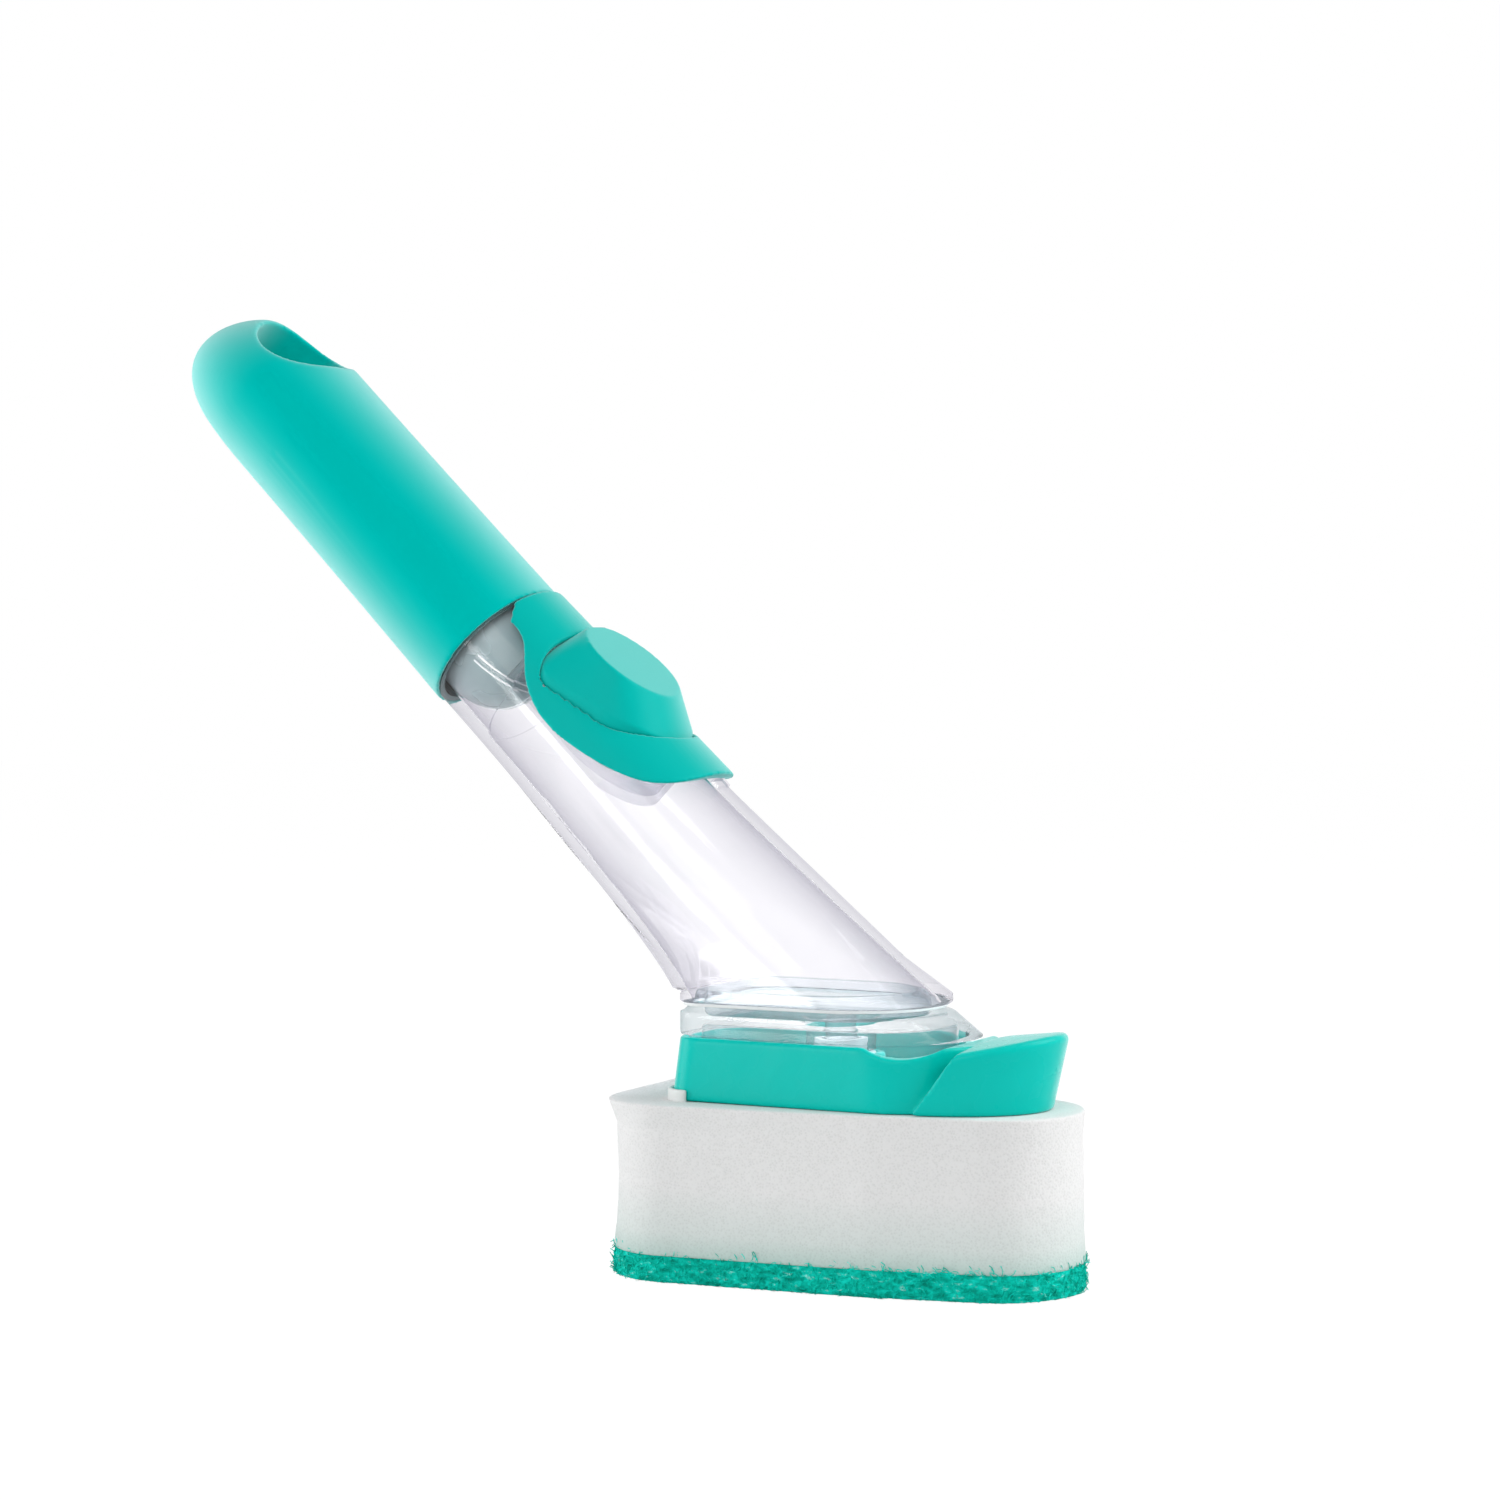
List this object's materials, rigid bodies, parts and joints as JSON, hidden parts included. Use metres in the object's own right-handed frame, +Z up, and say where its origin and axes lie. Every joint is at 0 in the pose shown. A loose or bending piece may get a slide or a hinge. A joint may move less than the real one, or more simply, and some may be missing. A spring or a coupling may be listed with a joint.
{
  "type": "dish wand",
  "caption": "Soap-dispensing dish wand: clear slanting tank with pump button, round handle with a hang hole, and a foam and scourer head.",
  "frame": {"origin": "middle of the scourer's underside, on the plane of symmetry", "axes": "+Z up, +X towards the thumb nose at the front, handle leaning back over -X"},
  "size_m": [0.206, 0.0558, 0.1966],
  "materials": {
    "soft_teal": "soft-touch over-moulding",
    "satin_teal": "satin moulded",
    "gloss_teal": "gloss moulded",
    "grey_core": "moulded",
    "clear": "clear moulded plastic",
    "clear_cap": "clear moulded plastic",
    "frosted": "translucent moulded",
    "silicone": "soft",
    "steel": "drawn wire",
    "white_plastic": "moulded",
    "foam": "open-cell foam",
    "scourer": "non-woven abrasive fibre"
  },
  "bodies": {
    "tank": {"reservoir": "clear", "button_bezel": "satin_teal", "diaphragm_ring": "white_plastic", "pump_diaphragm": "silicone", "return_spring": "steel", "base_cap": "clear_cap", "base_gasket": "silicone", "outlet_valve": "silicone", "valve_retainer": "white_plastic", "nozzle_seal": "silicone"},
    "seal_ring": {"plug_seal": "silicone"},
    "handle": {"handle_grip": "soft_teal", "handle_core": "grey_core", "fill_plug": "frosted"},
    "button": {"button_cap": "satin_teal", "button_plunger": "white_plastic"},
    "head": {"head_carrier": "gloss_teal", "sponge_plate": "white_plastic", "sponge_foam": "foam", "scourer_pad": "scourer"}
  },
  "joints": [
    {"name": "button_press", "type": "slide", "parent": "tank", "child": "button", "axis": [-0.7009, 0, -0.7133], "range_m": [0, 0.003], "stiffness_N_per_m": 400, "springref_m": -0.002, "deforming": ["return_spring", "pump_diaphragm"]},
    {"name": "handle_pull", "type": "slide", "parent": "tank", "child": "seal_ring", "axis": [-0.7133, 0, 0.7009], "range_m": [0, 0.035]},
    {"name": "handle_turn", "type": "hinge", "parent": "seal_ring", "child": "handle", "pos_m": [-0.08261, 0, 0.12487], "axis": [-0.7133, 0, 0.7009], "range_deg": [0, 90]},
    {"name": "head_release", "type": "slide", "parent": "tank", "child": "head", "axis": [0, 0, -1], "range_m": [0, 0.02]}
  ]
}
